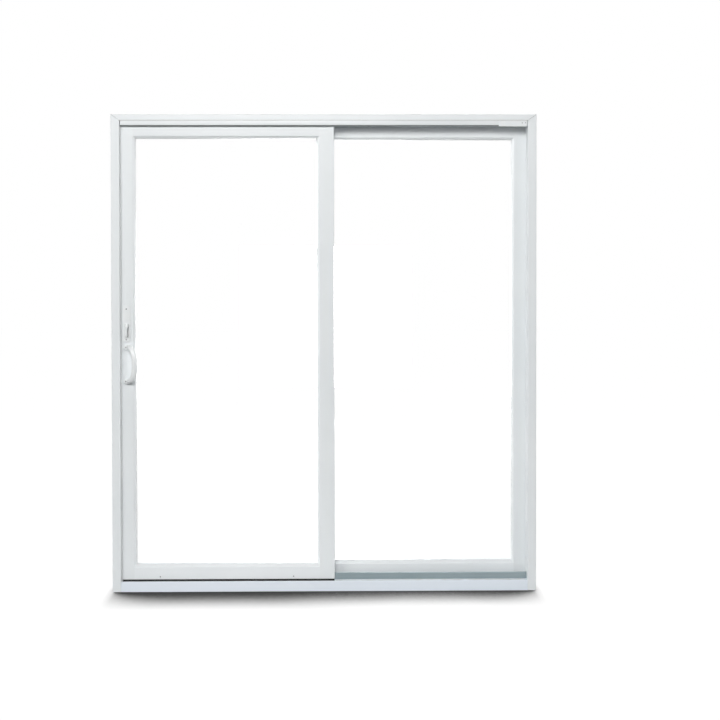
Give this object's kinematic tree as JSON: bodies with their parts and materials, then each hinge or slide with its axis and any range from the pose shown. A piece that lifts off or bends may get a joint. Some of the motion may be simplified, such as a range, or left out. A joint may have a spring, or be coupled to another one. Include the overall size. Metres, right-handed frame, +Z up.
{
  "type": "glass sliding patio door",
  "caption": "White framed patio door with a fixed glazed panel and a glazed panel that slides on a sill rail, with a bowed pull and a thumb latch.",
  "frame": {"origin": "middle of the sill's underside, at mid depth of the frame", "axes": "+X along the wall from lock jamb to fixed jamb, +Y from the room to the outside, +Z up"},
  "size_m": [1.797, 0.1487, 2.019],
  "materials": {
    "frame_vinyl": "satin white extruded vinyl of the frame",
    "sash_vinyl": "satin white extruded vinyl of the panels",
    "bead_vinyl": "satin white glazing bead",
    "glass": "clear float glass",
    "spacer": "matt spacer bar",
    "track": "satin anodised rail",
    "hardware": "white powder coat",
    "lock_steel": "brushed stainless plate",
    "roller_steel": "turned steel roller",
    "pile": "grey pile seal",
    "rubber": "white rubber bumper"
  },
  "bodies": {
    "frame": {"head_jamb": "frame_vinyl", "lock_jamb": "frame_vinyl", "fixed_jamb": "frame_vinyl", "sill": "frame_vinyl", "head_stop": "frame_vinyl", "head_clip": "frame_vinyl", "roller_rail": "track", "open_stop": "rubber", "strike_plate": "lock_steel", "lock_jamb_seal": "pile", "middle_seal": "pile", "fixed_meeting_stile": "sash_vinyl", "fixed_jamb_stile": "sash_vinyl", "fixed_top_rail": "sash_vinyl", "fixed_bottom_rail": "sash_vinyl", "fixed_side_beads": "bead_vinyl", "fixed_end_beads": "bead_vinyl", "fixed_glass": "glass", "fixed_spacer": "spacer"},
    "sliding_panel": {"lock_stile": "sash_vinyl", "meeting_stile": "sash_vinyl", "sliding_top_rail": "sash_vinyl", "sliding_bottom_rail": "sash_vinyl", "sliding_side_beads": "bead_vinyl", "sliding_end_beads": "bead_vinyl", "sliding_glass": "glass", "sliding_spacer": "spacer", "roller_wheels": "roller_steel", "roller_carriages": "lock_steel", "lock_faceplate": "lock_steel", "latch_plate": "hardware", "pull_handle": "hardware", "outer_pull": "hardware"},
    "latch": {"thumb_latch": "hardware"}
  },
  "joints": [
    {"name": "panel_slide", "type": "slide", "parent": "frame", "child": "sliding_panel", "axis": [1, 0, 0], "range_m": [0, 0.77]},
    {"name": "latch_turn", "type": "hinge", "parent": "sliding_panel", "child": "latch", "pos_m": [-0.837, -0.05, 1.128], "axis": [0, -1, 0], "range_deg": [0, 90]}
  ]
}
